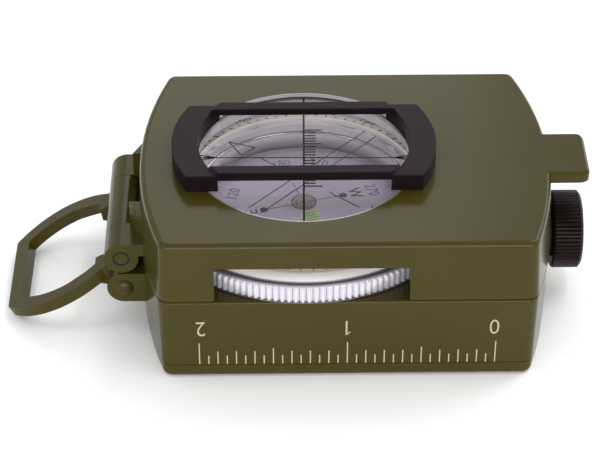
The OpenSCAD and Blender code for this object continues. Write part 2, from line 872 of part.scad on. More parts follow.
module thumb_loop_pin() {
    color(paint) {
        cross_cylinder(loop_x, loop_pin_z, loop_pin_r, -barrel_half - 0.1, barrel_half + 0.1);
        for (side = [-1, 1])
            translate([loop_x, side * barrel_half, loop_pin_z])
                rotate([-side * 90, 0, 0])
                    intersection() {
                        cylinder(r = rivet_r, h = rivet_h, $fn = 48);
                        translate([0, 0, rivet_h - rivet_dome_r - 0.05])
                            sphere(r = rivet_dome_r + 0.05, $fn = 96);
                    }
    }
}

// Outline of the rim: pointed teeth with V grooves between them
module tooth_outline() {
    pitch = 360 / tooth_count;
    polygon([
        for (i = [0 : tooth_count - 1])
            for (p = [[-0.1, rim_r], [0.1, rim_r], [0.5, root_r]])
                p[1] * [cos((i + p[0]) * pitch), sin((i + p[0]) * pitch)]
    ]);
}

// Half section of the ring: bore and clip groove, toothed band, groove, shoulder and seats
function bezel_section() = [
    [collar_r + run_fit, rim_z],
    [rim_r + over, rim_z],
    [rim_r + over, rim_top - (rim_r + over - land_r)],
    [land_r, rim_top],
    [core_r, rim_top],
    [core_r, rim_top - groove_d],
    [shoulder_start, rim_top - groove_d],
    for (i = [0 : shoulder_steps])
        let (t = i / shoulder_steps)
        [shoulder_start - shoulder_w * t, rim_top + shoulder_h * t * (1 + shoulder_crown * (1 - t))],
    [scale_outer_r, shoulder_top],
    [scale_outer_r, shoulder_top - scale_t],
    [glass_pocket_r, scale_top - scale_t],
    [glass_pocket_r, bezel_glass_z],
    [flange_r, bezel_glass_z],
    [flange_r, flange_z],
    [collar_r + run_fit, flange_z],
    [collar_r + run_fit, clip_z + clip_slot_h / 2],
    [clip_slot_r, clip_z + clip_slot_h / 2],
    [clip_slot_r, clip_z - clip_slot_h / 2],
    [collar_r + run_fit, clip_z - clip_slot_h / 2]
];

module bezel_ring() {
    color(chrome)
        intersection() {
            union() {
                translate([0, 0, rim_z - over])
                    linear_extrude(case_h)
                        tooth_outline();
                translate([0, 0, rim_z - over])
                    cylinder(r = rim_r - rim_lip_inset, h = over + rim_lip, $fn = 180);
            }
            rotate_extrude($fn = 180)
                polygon(bezel_section());
        }
}

module scale_ring() {
    color(cream)
        rotate_extrude($fn = 180)
            polygon([
                [scale_outer_r - snug_fit, shoulder_top - scale_t + 0.01], [scale_outer_r - snug_fit, shoulder_top],
                [scale_inner_r, scale_top], [scale_inner_r, scale_top - scale_t + 0.01]
            ]);
}

module bezel_glass() {
    color(clear)
        translate([0, 0, bezel_glass_z])
            cylinder(r = bezel_glass_r, h = bezel_glass_t, $fn = 180);
}

module bezel_clip() {
    color(steel)
        translate([0, 0, clip_z])
            rotate_extrude(angle = 345, $fn = 180)
                translate([clip_r, 0])
                    circle(r = clip_wire_r, $fn = 24);
}

module capsule_bowl() {
    color([0.92, 0.92, 0.92])
        difference() {
            translate([0, 0, capsule_z])
                cylinder(r = capsule_r, h = capsule_split - capsule_z, $fn = 180);
            translate([0, 0, capsule_floor])
                cylinder(r = capsule_inner, h = case_h, $fn = 180);
            translate([0, 0, capsule_split - 2 * seal_wire_r])
                difference() {
                    cylinder(r = seal_r + seal_wire_r + snug_fit, h = over, $fn = 180);
                    cylinder(r = seal_r - seal_wire_r - snug_fit, h = over, $fn = 180);
                }
            translate([plug_x, 0, capsule_z - over])
                cylinder(r = plug_r + snug_fit, h = over + capsule_floor, $fn = 32);
        }
}

module dome_profile(inset) {
    edge = capsule_r - inset;
    top = capsule_top - (inset > 0 ? capsule_top_t : 0);
    bend = dome_r - inset;
    translate([0, capsule_split - (inset > 0 ? over : 0)])
        square([edge, top - bend - capsule_split + (inset > 0 ? over : 0)]);
    translate([0, top - bend])
        square([edge - bend, bend]);
    translate([edge - bend, top - bend])
        circle(r = bend, $fn = 96);
}

module capsule_glass() {
    color(clear)
        rotate_extrude($fn = 180)
            difference() {
                intersection() {
                    dome_profile(0);
                    translate([0, capsule_split])
                        square([capsule_r, case_h]);
                }
                dome_profile(capsule_wall);
            }
}

module capsule_seal() {
    color(black)
        translate([0, 0, capsule_split - seal_wire_r])
            rotate_extrude($fn = 180)
                translate([seal_r, 0])
                    circle(r = seal_wire_r, $fn = 24);
}

module fill_plug() {
    color(steel)
        translate([plug_x, 0, capsule_z])
            difference() {
                cylinder(r = plug_r, h = capsule_floor - capsule_z, $fn = 32);
                translate([-plug_r * 0.7, -0.2, -over])
                    cube([plug_r * 1.4, 0.4, over + 0.5]);
            }
}

module pivot_pin() {
    color(steel)
        translate([0, 0, capsule_floor]) {
            cylinder(r = pin_foot_r, h = pin_foot_h, $fn = 48);
            cylinder(r = pin_r, h = pin_top - pin_tip_h - capsule_floor, $fn = 32);
            translate([0, 0, pin_top - pin_tip_h - capsule_floor])
                cylinder(r1 = pin_r, r2 = 0.08, h = pin_tip_h, $fn = 32);
        }
}

module dial_card() {
    color([0.95, 0.95, 0.95])
        difference() {
            union() {
                translate([0, 0, card_under])
                    cylinder(r = card_r, h = card_t, $fn = 180);
                translate([0, 0, card_under - hub_l])
                    cylinder(r = hub_r, h = hub_l + card_t / 2, $fn = 48);
            }
            translate([0, 0, card_under - hub_l - over])
                cylinder(r = jewel_bore_r, h = hub_l + over - 0.05, $fn = 32);
        }
}

module dial_magnet() {
    color([0.3, 0.3, 0.32])
        translate([0, 0, card_under - magnet_t])
            difference() {
                cylinder(r = magnet_r, h = magnet_t, $fn = 96);
                translate([0, 0, -over])
                    cylinder(r = hub_r + snug_fit, h = magnet_t + 2 * over, $fn = 48);
            }
}

module pivot_cap() {
    color([0.85, 0.75, 0.65, 0.7])
        translate([0, 0, card_face])
            difference() {
                union() {
                    cylinder(r = jewel_cap_r, h = jewel_cap_h * 0.6, $fn = 64);
                    translate([0, 0, jewel_cap_h * 0.6])
                        cylinder(r1 = jewel_cap_r, r2 = jewel_cap_r * 0.55, h = jewel_cap_h * 0.4, $fn = 64);
                }
                translate([0, 0, jewel_cap_h * 0.7])
                    cylinder(r = jewel_cap_r * 0.3, h = jewel_cap_h, $fn = 48);
            }
}

// Outline of the cap's grip: round ribs with narrow grooves between them
module rib_outline() {
    pitch = 360 / rib_count;
    polygon([
        for (i = [0 : rib_count - 1])
            for (p = [[-0.3, cap_r], [0, cap_r + 0.02], [0.3, cap_r], [0.5, cap_r - rib_depth]])
                p[1] * [cos((i + p[0]) * pitch), sin((i + p[0]) * pitch)]
    ]);
}

module battery_cap() {
    bevel_in = 0.4;
    bevel_out = 0.6;
    color(black)
        translate([cap_x, 0, cap_z])
            rotate([0, 90, 0]) {
                intersection() {
                    linear_extrude(cap_l)
                        rib_outline();
                    rotate_extrude($fn = 96)
                        polygon([
                            [0, 0], [cap_r - bevel_in, 0], [cap_r + 0.1, bevel_in],
                            [cap_r + 0.1, cap_l - bevel_out], [cap_r - bevel_out, cap_l], [0, cap_l]
                        ]);
                }
                translate([0, 0, stem_end - cap_x])
                    cylinder(r = stem_r, h = cap_x - stem_end + over, $fn = 96);
            }
}

module cap_seal() {
    color([0.08, 0.08, 0.08])
        translate([seat_x + seal_ring_r + snug_fit, 0, cap_z])
            rotate([0, 90, 0])
                rotate_extrude($fn = 96)
                    translate([stem_r + run_fit + seal_ring_r, 0])
                        circle(r = seal_ring_r, $fn = 24);
}

module button_cells() {
    color(steel)
        for (i = [0 : cell_count - 1])
            axial_cylinder(cell_x + i * cell_t, cell_t - 0.05, cell_r);
}

// Cone-shaped coil between the lamp's bush and the first cell
function coil_point(i) =
    let (t = i / (spring_turns * spring_steps))
    [
        (1.2 + 1.8 * t) * cos(360 * i / spring_steps),
        (1.2 + 1.8 * t) * sin(360 * i / spring_steps),
        spring_wire_r + t * (spring_l - 2 * spring_wire_r)
    ];

module contact_spring() {
    sides = 6;
    count = spring_turns * spring_steps + 1;
    points = [
        for (i = [0 : count - 1])
            for (k = [0 : sides - 1])
                let (p = coil_point(i), a = 360 * i / spring_steps, b = 360 * k / sides)
                [p[0] + spring_wire_r * cos(b) * cos(a), p[1] + spring_wire_r * cos(b) * sin(a),
                 p[2] + spring_wire_r * sin(b)]
    ];
    skin = [
        for (i = [0 : count - 2])
            for (k = [0 : sides - 1])
                let (a = i * sides + k, b = i * sides + (k + 1) % sides)
                each [[a, b, a + sides], [b, b + sides, a + sides]]
    ];
    ends = [
        for (k = [1 : sides - 2])
            each [[0, k + 1, k], [(count - 1) * sides, (count - 1) * sides + k, (count - 1) * sides + k + 1]]
    ];
    color(steel)
        translate([chamber_x, 0, cap_z])
            rotate([0, 90, 0])
                polyhedron(points = points, faces = concat(skin, ends));
}

module lamp() {
    color([0.9, 0.95, 0.7, 0.8]) {
        axial_cylinder(lamp_x + lamp_r, lamp_l - lamp_r + over, lamp_r);
        translate([lamp_x + lamp_r, 0, cap_z])
            sphere(r = lamp_r, $fn = 48);
    }
}

module lamp_bush() {
    color(black)
        difference() {
            axial_cylinder(bush_x, bush_l - snug_fit, bush_r);
            axial_cylinder(bush_x - over, 2 * over + snug_fit, lamp_r + snug_fit);
        }
}

base_housing();
bottom_plate();
bottom_screws();
lid_shell();
lid_hinge_pin();
window_glass();
window_frame();
window_lining();
magnifier_frame();
magnifier_lens();
magnifier_screws();
thumb_loop();
thumb_loop_pin();
bezel_ring();
scale_ring();
bezel_glass();
bezel_clip();
capsule_bowl();
capsule_glass();
capsule_seal();
fill_plug();
pivot_pin();
dial_card();
dial_magnet();
pivot_cap();
battery_cap();
cap_seal();
button_cells();
contact_spring();
lamp();
lamp_bush();
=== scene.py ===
import math
import bmesh
import bpy
from mathutils import Matrix, Vector


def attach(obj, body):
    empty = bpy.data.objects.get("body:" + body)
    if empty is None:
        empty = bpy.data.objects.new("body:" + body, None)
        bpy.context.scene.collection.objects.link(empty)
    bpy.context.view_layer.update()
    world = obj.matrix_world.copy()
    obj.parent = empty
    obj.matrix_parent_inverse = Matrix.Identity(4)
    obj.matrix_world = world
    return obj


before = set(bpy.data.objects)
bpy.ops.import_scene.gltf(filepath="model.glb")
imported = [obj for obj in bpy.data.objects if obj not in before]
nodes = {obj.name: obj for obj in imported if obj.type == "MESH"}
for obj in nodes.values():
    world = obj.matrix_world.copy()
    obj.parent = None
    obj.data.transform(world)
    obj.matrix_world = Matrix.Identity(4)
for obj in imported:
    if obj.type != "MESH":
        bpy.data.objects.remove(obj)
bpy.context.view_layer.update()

mm = 0.001
printDepth = 0.03 * mm  # thickness of anything printed
mergeReach = 1e-8  # points of a new piece that lie closer than this are one
heightOnly, radiusOnly = (0, 0, 1), (1, 1, 0)  # what a finish measures of a place
print("frame loaded,", len(nodes), "nodes")


# small helpers for materials

def newMaterial(name, look):
    material = bpy.data.materials.new(name)
    material.use_nodes = True
    tree = material.node_tree
    shader = tree.nodes["Principled BSDF"]
    for socket, value in look.items():
        shader.inputs[socket].default_value = (*value, 1) if isinstance(value, tuple) else value
    return material, tree, shader


def addNode(tree, kind, inputs=None, **values):
    node = tree.nodes.new(kind)
    for key, value in values.items():
        setattr(node, key, value)
    for socket, value in (inputs or {}).items():
        node.inputs[socket].default_value = value
    return node


def addMath(tree, kind, operation, *inputs):  # each input is a socket or a fixed value
    node = addNode(tree, kind, operation=operation)
    for slot, value in zip(node.inputs, inputs):
        if isinstance(value, bpy.types.NodeSocket):
            tree.links.new(value, slot)
        else:
            slot.default_value = value
    return node


def objectPlace(tree):
    return addNode(tree, "ShaderNodeTexCoord").outputs["Object"]


def lengthAlong(tree, place, mask):  # the masked vector and its length
    part = addMath(tree, "ShaderNodeVectorMath", "MULTIPLY", place, mask).outputs["Vector"]
    return part, addMath(tree, "ShaderNodeVectorMath", "LENGTH", part).outputs["Value"]


def noiseAt(tree, vector, scale, detail=3.0, rough=0.5):
    noise = addNode(
        tree, "ShaderNodeTexNoise", {"Scale": scale, "Detail": detail, "Roughness": rough})
    tree.links.new(vector, noise.inputs["Vector"])
    return noise.outputs["Fac"]


def spread(tree, factor, low, high):  # noise mostly lies between 0.3 and 0.7
    values = {"From Min": 0.3, "From Max": 0.7, "To Min": low, "To Max": high}
    remap = addNode(tree, "ShaderNodeMapRange", values)
    tree.links.new(factor, remap.inputs["Value"])
    return remap.outputs["Result"]


def mixColours(tree, factor, colourA, colourB):
    mix = addNode(tree, "ShaderNodeMix", data_type="RGBA")
    colours = [socket for socket in mix.inputs if socket.type == "RGBA"]
    colours[0].default_value = (*colourA, 1)
    colours[1].default_value = (*colourB, 1)
    tree.links.new(factor, mix.inputs[0])
    return [socket for socket in mix.outputs if socket.type == "RGBA"][0]


def shadeBy(tree, shader, cloud, fine, colour, shade, rough, bump):  # bump in mm
    tint = mixColours(tree, spread(tree, cloud, 0.0, 1.0), colour, shade)
    relief = addNode(tree, "ShaderNodeBump", {"Distance": bump * mm, "Strength": 1.0})
    tree.links.new(tint, shader.inputs["Base Color"])
    tree.links.new(spread(tree, fine, *rough), shader.inputs["Roughness"])
    tree.links.new(fine, relief.inputs["Height"])
    tree.links.new(relief.outputs["Normal"], shader.inputs["Normal"])


def surface(name, colour, shade, blotch, grain, bump, rough, look):  # paint, plastic, plain metal
    material, tree, shader = newMaterial(name, look)
    place = objectPlace(tree)
    cloud = noiseAt(tree, place, blotch)
    fine = noiseAt(tree, place, grain, detail=2.0, rough=0.6)
    shadeBy(tree, shader, cloud, fine, colour, shade, rough, bump)
    return material


def turned(name, colour, shade, groove, bump, rough, stretch=0.0):  # lines run round the axis
    material, tree, shader = newMaterial(name, {"Metallic": 1.0, "Anisotropic": stretch})
    place = objectPlace(tree)
    outwards, radius = lengthAlong(tree, place, radiusOnly)
    split = addNode(tree, "ShaderNodeSeparateXYZ")
    join = addNode(tree, "ShaderNodeCombineXYZ")
    tree.links.new(place, split.inputs[0])
    tree.links.new(radius, join.inputs["X"])
    tree.links.new(split.outputs["Z"], join.inputs["Y"])
    lines = noiseAt(tree, join.outputs["Vector"], groove, rough=0.7)
    shadeBy(tree, shader, lines, lines, colour, shade, rough, bump)
    tree.links.new(outwards, shader.inputs["Tangent"])
    return material


def clear(name, tint, straight, grazing, smear, gloss=0.02):  # see-through body, polished face
    material = bpy.data.materials.new(name)
    material.use_nodes = True
    tree = material.node_tree
    tree.nodes.remove(tree.nodes["Principled BSDF"])
    through = addNode(tree, "ShaderNodeBsdfTransparent", {"Color": (*tint, 1)})
    shine = addNode(tree, "ShaderNodeBsdfGlossy", {"Color": (1, 1, 1, 1), "Roughness": gloss})
    facing = addNode(tree, "ShaderNodeLayerWeight", {"Blend": 0.5}).outputs["Facing"]
    edge = addMath(tree, "ShaderNodeMath", "POWER", facing, 5).outputs[0]  # steep towards the rim
    rise = addMath(tree, "ShaderNodeMath", "MULTIPLY_ADD", edge, grazing, straight).outputs[0]
    film = spread(tree, noiseAt(tree, objectPlace(tree), smear), 0.85, 1.15)  # faint smears
    share = addMath(tree, "ShaderNodeMath", "MULTIPLY", rise, film).outputs[0]
    mix = addNode(tree, "ShaderNodeMixShader")
    for part, socket in zip((share, through.outputs[0], shine.outputs[0]), mix.inputs):
        tree.links.new(part, socket)
    tree.links.new(mix.outputs[0], tree.nodes["Material Output"].inputs["Surface"])
    return material


def zone(material, socket, low, high, below, above, mask=heightOnly):
    tree = material.node_tree
    shader = tree.nodes["Principled BSDF"]
    length = lengthAlong(tree, objectPlace(tree), mask)[1]
    step = addNode(tree, "ShaderNodeMapRange", {"From Min": low * mm, "From Max": high * mm})
    tree.links.new(length, step.inputs["Value"])
    if isinstance(below, tuple):  # a colour is multiplied with what the socket has
        factor = mixColours(tree, step.outputs["Result"], below, above)
        before = shader.inputs[socket].links[0].from_socket
        product = addMath(tree, "ShaderNodeVectorMath", "MULTIPLY", before, factor)
        tree.links.new(product.outputs["Vector"], shader.inputs[socket])
    else:
        step.inputs["To Min"].default_value = below
        step.inputs["To Max"].default_value = above
        tree.links.new(step.outputs["Result"], shader.inputs[socket])


# finishes of the compass: colours are linear, patterns count per metre, bump is in mm

plainFinishes = {
    "casePaint": {
        "colour": (0.043, 0.035, 0.005), "shade": (0.040, 0.032, 0.0045), "blotch": 90,
        "grain": 1400, "bump": 0.0008, "rough": (0.16, 0.22),
        "look": {"Specular IOR Level": 0.17}},
    "pinPaint": {
        "colour": (0.041, 0.033, 0.005), "shade": (0.037, 0.030, 0.0045), "blotch": 300,
        "grain": 1600, "bump": 0.001, "rough": (0.18, 0.26),
        "look": {"Specular IOR Level": 0.17}},
    "frameBlack": {
        "colour": (0.010, 0.005, 0.007), "shade": (0.008, 0.004, 0.0055), "blotch": 120,
        "grain": 3000, "bump": 0.004, "rough": (0.3, 0.4),
        "look": {"Specular IOR Level": 0.09, "Specular Tint": (1.0, 0.72, 0.86)}},
    "capBlack": {
        "colour": (0.010, 0.004, 0.0035), "shade": (0.007, 0.003, 0.0025), "blotch": 200,
        "grain": 3200, "bump": 0.006, "rough": (0.3, 0.4),
        "look": {"Specular IOR Level": 0.1}},
    # the scale glows a little, which is painted light; the zones below make it stronger near the
    # window
    "scaleCream": {
        "colour": (0.88, 0.81, 0.72), "shade": (0.84, 0.77, 0.68), "blotch": 150,
        "grain": 2500, "bump": 0.001, "rough": (0.32, 0.42),
        "look": {"Specular IOR Level": 0.3, "Emission Color": (0.86, 0.8, 0.74)}},
    "cardWhite": {
        "colour": (0.47, 0.405, 0.47), "shade": (0.445, 0.38, 0.445), "blotch": 130,
        "grain": 2600, "bump": 0.0008, "rough": (0.5, 0.6),
        "look": {"Specular IOR Level": 0.3}},
    "bowlWhite": {
        "colour": (0.77, 0.69, 0.74), "shade": (0.73, 0.65, 0.7), "blotch": 100,
        "grain": 1800, "bump": 0.004, "rough": (0.35, 0.45),
        "look": {"Specular IOR Level": 0.4}},
    "rubberBlack": {
        "colour": (0.012, 0.012, 0.012), "shade": (0.018, 0.018, 0.018), "blotch": 400,
        "grain": 4000, "bump": 0.012, "rough": (0.6, 0.75),
        "look": {"Specular IOR Level": 0.35}},
    "brassPlain": {
        "colour": (0.6, 0.42, 0.14), "shade": (0.5, 0.33, 0.1), "blotch": 250,
        "grain": 3500, "bump": 0.004, "rough": (0.25, 0.4),
        "look": {"Metallic": 1.0}},
    "magnetDark": {
        "colour": (0.12, 0.12, 0.13), "shade": (0.09, 0.09, 0.1), "blotch": 250,
        "grain": 2500, "bump": 0.008, "rough": (0.4, 0.55),
        "look": {"Metallic": 0.8}},
    "cellSteel": {
        "colour": (0.62, 0.62, 0.63), "shade": (0.54, 0.54, 0.56), "blotch": 250,
        "grain": 3000, "bump": 0.003, "rough": (0.18, 0.3),
        "look": {"Metallic": 1.0}},
    "screwSteel": {
        "colour": (0.5, 0.49, 0.48), "shade": (0.42, 0.41, 0.4), "blotch": 300,
        "grain": 3500, "bump": 0.004, "rough": (0.25, 0.4),
        "look": {"Metallic": 1.0}},
    "printCream": {
        "colour": (0.4, 0.38, 0.25), "shade": (0.36, 0.34, 0.22), "blotch": 500,
        "grain": 3000, "bump": 0.002, "rough": (0.45, 0.55),
        "look": {"Specular IOR Level": 0.3}},
    # black of the prints, also used as painted shade in the hinge's gaps
    "printAndShadeBlack": {
        "colour": (0.012, 0.009, 0.012), "shade": (0.016, 0.012, 0.016), "blotch": 500,
        "grain": 3000, "bump": 0.002, "rough": (0.5, 0.6),
        "look": {"Specular IOR Level": 0.08}},
    "printGrey": {
        "colour": (0.05, 0.042, 0.058), "shade": (0.06, 0.052, 0.068), "blotch": 500,
        "grain": 3000, "bump": 0.002, "rough": (0.5, 0.6),
        "look": {"Specular IOR Level": 0.08}},
    "printGreen": {  # glows a little
        "colour": (0.42, 0.53, 0.19), "shade": (0.37, 0.48, 0.16), "blotch": 500,
        "grain": 3000, "bump": 0.002, "rough": (0.5, 0.6),
        "look": {
            "Specular IOR Level": 0.3, "Emission Color": (0.42, 0.53, 0.19),
            "Emission Strength": 0.05}},
    # brown of the rings under the jewel, painted shade of its rim
    "jewelShadeBrown": {
        "colour": (0.1, 0.07, 0.06), "shade": (0.13, 0.09, 0.075), "blotch": 500,
        "grain": 3000, "bump": 0.002, "rough": (0.4, 0.5),
        "look": {"Specular IOR Level": 0.2}},
}
turnedFinishes = {
    "ringChrome": {
        "colour": (0.84, 0.82, 0.87), "shade": (0.78, 0.76, 0.81),
        "groove": 5200, "bump": 0.0006, "rough": (0.28, 0.36), "stretch": 0.75},
    "frameChrome": {
        "colour": (0.86, 0.83, 0.84), "shade": (0.8, 0.77, 0.79),
        "groove": 4200, "bump": 0.0004, "rough": (0.08, 0.14)},
    "liningChrome": {
        "colour": (0.8, 0.78, 0.83), "shade": (0.74, 0.72, 0.77),
        "groove": 4200, "bump": 0.0004, "rough": (0.1, 0.16)},
}
clearFinishes = {
    "windowClear": {"tint": (0.97, 0.97, 0.975), "straight": 0.003, "grazing": 0.2, "smear": 60},
    "lensClear": {"tint": (0.96, 0.96, 0.96), "straight": 0.004, "grazing": 0.2, "smear": 60},
    "capsuleClear": {"tint": (0.96, 0.955, 0.97), "straight": 0.01, "grazing": 0.8, "smear": 80},
    "jewelClear": {
        "tint": (0.9, 0.84, 0.79), "straight": 0.03, "grazing": 0.9, "smear": 150, "gloss": 0.05},
    "lampClear": {
        "tint": (0.9, 0.95, 0.7), "straight": 0.03, "grazing": 0.9, "smear": 150, "gloss": 0.05},
}

# where a finish changes, most of them painted light and shade: from and to in mm, and its value
# below and above
asIs = (1.0, 1.0, 1.0)
zones = [
    ("scaleCream", "Emission Strength", 21.9, 22.6, 0.02, 0.2),  # painted glow of the scale, stronger towards the window
    ("scaleCream", "Base Color", 21.3, 22.2, (0.6, 0.55, 0.48), asIs),  # outer edge of the cone darker, painted shade under the lid
    ("scaleCream", "Base Color", 22.7, 22.95, asIs, (0.55, 0.52, 0.48)),  # inner edge
    ("ringChrome", "Metallic", 20.25, 20.5, 0.6, 0.3),  # shoulder
    ("ringChrome", "Base Color", 17.0, 17.06, (0.2, 0.19, 0.2), (0.88, 0.87, 0.89)),  # lip under the teeth painted dark as shade, the teeth above a little darker
    ("ringChrome", "Base Color", 27.4, 27.52, (0.5, 0.49, 0.5), asIs, radiusOnly),  # darker towards the tooth roots, painted shade
    ("ringChrome", "Base Color", 20.08, 20.14, asIs, (0.6, 0.59, 0.59)),  # land over the teeth darker, painted shade
    ("ringChrome", "Base Color", 20.3, 20.45, asIs, (4.3, 4.3, 3.95)),  # shoulder brightened past white, a painted highlight
    ("frameChrome", "Metallic", 25.0, 25.2, 1.0, 0.4),  # face under the glass
    ("liningChrome", "Metallic", 27.4, 27.6, 0.9, 0.4),  # upper part of the lining
    ("liningChrome", "Base Color", 28.08, 28.12, asIs, (0.35, 0.34, 0.32)),  # top rim
]

materials = {}
for name, values in plainFinishes.items():
    materials[name] = surface(name, **values)
for name, values in turnedFinishes.items():
    materials[name] = turned(name, **values)
for name, values in clearFinishes.items():
    materials[name] = clear(name, **values)
for name, *values in zones:
    zone(materials[name], *values)
print("finishes made,", len(materials), "materials")


# CAD nodes: finish, then how wide their sharp edges are broken, in mm

nodeFinish = {
    "base_housing": ("casePaint", 0.12), "bottom_plate": ("casePaint", 0.1),
    "bottom_screws": ("screwSteel", 0.08), "lid_shell": ("casePaint", 0.12),
    "lid_hinge_pin": ("pinPaint", 0.15), "thumb_loop": ("casePaint", 0.35),
    "thumb_loop_pin": ("pinPaint", 0.05), "window_glass": ("windowClear", 0),
    "window_frame": ("frameChrome", 0), "window_lining": ("liningChrome", 0),
    "magnifier_frame": ("frameBlack", 0.12), "magnifier_lens": ("lensClear", 0.05),
    "magnifier_screws": ("screwSteel", 0.05), "bezel_ring": ("ringChrome", 0),
    "scale_ring": ("scaleCream", 0), "bezel_glass": ("windowClear", 0),
    "bezel_clip": ("screwSteel", 0), "capsule_bowl": ("bowlWhite", 0.1),
    "capsule_glass": ("capsuleClear", 0), "capsule_seal": ("rubberBlack", 0),
    "fill_plug": ("brassPlain", 0.05), "pivot_pin": ("screwSteel", 0.03),
    "dial_card": ("cardWhite", 0.05), "dial_magnet": ("magnetDark", 0.08),
    "pivot_cap": ("jewelClear", 0.05), "battery_cap": ("capBlack", 0.05),
    "cap_seal": ("rubberBlack", 0), "button_cells": ("cellSteel", 0.12),
    "contact_spring": ("brassPlain", 0), "lamp": ("lampClear", 0), "lamp_bush": ("capBlack", 0.1),
}
dressing = {  # angles in degrees
    "weldReach": 1e-6, "flatAngle": 0.4, "edgeSegments": 2, "edgeAngle": 32, "splitAngle": 30,
}


def dressNode(name, finish, width, s):
    node = nodes[name]
    node.data.materials.clear()
    node.data.materials.append(materials[finish])
    for face in node.data.polygons:
        face.use_smooth = True
    weld = node.modifiers.new("weld", "WELD")
    weld.merge_threshold = s["weldReach"]
    if width:
        flat = node.modifiers.new("flat", "DECIMATE")
        flat.decimate_type = "DISSOLVE"
        flat.angle_limit = math.radians(s["flatAngle"])
        soft = node.modifiers.new("soft", "BEVEL")
        soft.width = width * mm
        soft.segments = s["edgeSegments"]
        soft.limit_method = "ANGLE"
        soft.angle_limit = math.radians(s["edgeAngle"])
        soft.harden_normals = True
        soft.use_clamp_overlap = True
        soft.miter_outer = "MITER_SHARP"
    else:
        split = node.modifiers.new("split", "EDGE_SPLIT")
        split.split_angle = math.radians(s["splitAngle"])
    even = node.modifiers.new("even", "WEIGHTED_NORMAL")
    even.keep_sharp = True


for name, (finish, width) in nodeFinish.items():
    dressNode(name, finish, width, dressing)
print("CAD nodes dressed")


# small helpers for the thin pieces, whose sizes are in mm and angles in degrees from here on

def addBar(bm, place, length, width):  # a bar along local X, lying on local XY
    size = Matrix.Diagonal((length * mm, width * mm, printDepth, 1))
    bmesh.ops.create_cube(bm, size=1.0, matrix=place @ size)


def addDot(bm, place, radius, sides):
    bmesh.ops.create_cone(
        bm, cap_ends=True, segments=sides, radius1=radius * mm, radius2=radius * mm,
        depth=printDepth, matrix=place)


def addLine(bm, start, end, z, width):  # a bar from one point to another
    a, b = Vector((*start, z)) * mm, Vector((*end, z)) * mm
    turn = Matrix.Rotation(math.atan2(b.y - a.y, b.x - a.x), 4, "Z")
    addBar(bm, Matrix.Translation((a + b) / 2) @ turn, (b - a).length / mm, width)


def addSpoke(bm, angle, start, end, z, width, aside=0.0):  # a line out from the axis
    a = math.radians(angle)
    ends = [
        (math.cos(a) * r - math.sin(a) * aside, math.sin(a) * r + math.cos(a) * aside)
        for r in (start, end)]
    addLine(bm, *ends, z, width)


def addWord(bm, word, height, place, weight=-0.01, narrow=0.85):  # up is local Y, faces local Z
    curve = bpy.data.curves.new("word", "FONT")
    curve.body = word
    curve.extrude = 0.01  # any thickness, because it is scaled to the print's below
    curve.resolution_u = 4
    curve.offset = weight
    holder = bpy.data.objects.new("word", curve)
    bpy.context.scene.collection.objects.link(holder)
    bpy.context.view_layer.update()
    mesh = bpy.data.meshes.new_from_object(holder)
    bpy.data.objects.remove(holder)
    low = Vector([min(v.co[i] for v in mesh.vertices) for i in range(3)])
    high = Vector([max(v.co[i] for v in mesh.vertices) for i in range(3)])
    size = height * mm / (high.y - low.y)
    mesh.transform(Matrix.Translation(-(low + high) / 2))
    mesh.transform(Matrix.Diagonal((size * narrow, size, printDepth / (high.z - low.z), 1)))
    mesh.transform(place)
    bm.from_mesh(mesh)
    bpy.data.meshes.remove(mesh)


def addRing(bm, profile, segments, place=None):  # radius and height, spun round local Z
    place = place or Matrix()
    points = [bm.verts.new(place @ Vector((r * mm, 0, z * mm))) for r, z in profile]
    edges = [bm.edges.new((points[i - 1], points[i])) for i in range(len(points))]
    axis = place.to_3x3() @ Vector((0, 0, 1))
    bmesh.ops.spin(
        bm, geom=points + edges, cent=place.translation, axis=axis, angle=2 * math.pi,
        steps=segments, use_merge=True)


def flatProfile(inner, outer, low, high):
    return [(inner, low), (outer, low), (outer, high), (inner, high)]


def roundProfile(radius, z, size, sides):
    turns = [2 * math.pi * i / sides for i in range(sides)]
    return [(radius + size * math.cos(a), z + size * math.sin(a)) for a in turns]


def around(angle, radius, z, tilt=0.0):  # local Y points outwards, local Z is up or leans out
    turn = Matrix.Rotation(math.radians(angle - 90), 4, "Z")
    lean = Matrix.Rotation(-math.radians(tilt), 4, "X")
    return turn @ Matrix.Translation((0, radius * mm, z * mm)) @ lean


def finishPiece(name, bm, finish, body, smooth=False):
    bmesh.ops.remove_doubles(bm, verts=bm.verts, dist=mergeReach)
    bmesh.ops.recalc_face_normals(bm, faces=bm.faces)
    mesh = bpy.data.meshes.new(name)
    bm.to_mesh(mesh)
    bm.free()
    piece = bpy.data.objects.new(name, mesh)
    bpy.context.scene.collection.objects.link(piece)
    mesh.materials.append(materials[finish])
    for face in mesh.polygons:
        face.use_smooth = smooth
    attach(piece, body)


# white sleeve round the capsule, painted light for the bright wall the filled capsule bends into
# view, and bright bead on the collar

sleeve = {
    "radius": 18.97, "thickness": 0.03, "low": 16.2, "high": 20.0, "segments": 180,
    "beadRadius": 19.1, "beadZ": 20.1, "beadSize": 0.12, "beadSides": 12,
}


def makeSleeve(s):
    bm = bmesh.new()
    # the sleeve's white is painted light, standing in for the brightness inside the filled capsule
    wall = flatProfile(s["radius"] - s["thickness"], s["radius"], s["low"], s["high"])
    addRing(bm, wall, s["segments"])
    finishPiece("capsule_sleeve", bm, "bowlWhite", "base", smooth=True)
    bm = bmesh.new()
    bead = roundProfile(s["beadRadius"], s["beadZ"], s["beadSize"], s["beadSides"])
    addRing(bm, bead, s["segments"])
    finishPiece("collar_bead", bm, "frameChrome", "base", smooth=True)


makeSleeve(sleeve)
print("sleeve and bead set")


# dark rings in the hinge's gaps, round the pin's ends and between the knuckles: painted shade

seams = {
    "x": -31.9, "z": 16.1, "segments": 64,
    "rings": ((1.2, 1.45, 13.92, 0.03), (2.72, 2.94, 7.35, 0.06)),  # radii, place on the pin, width
}


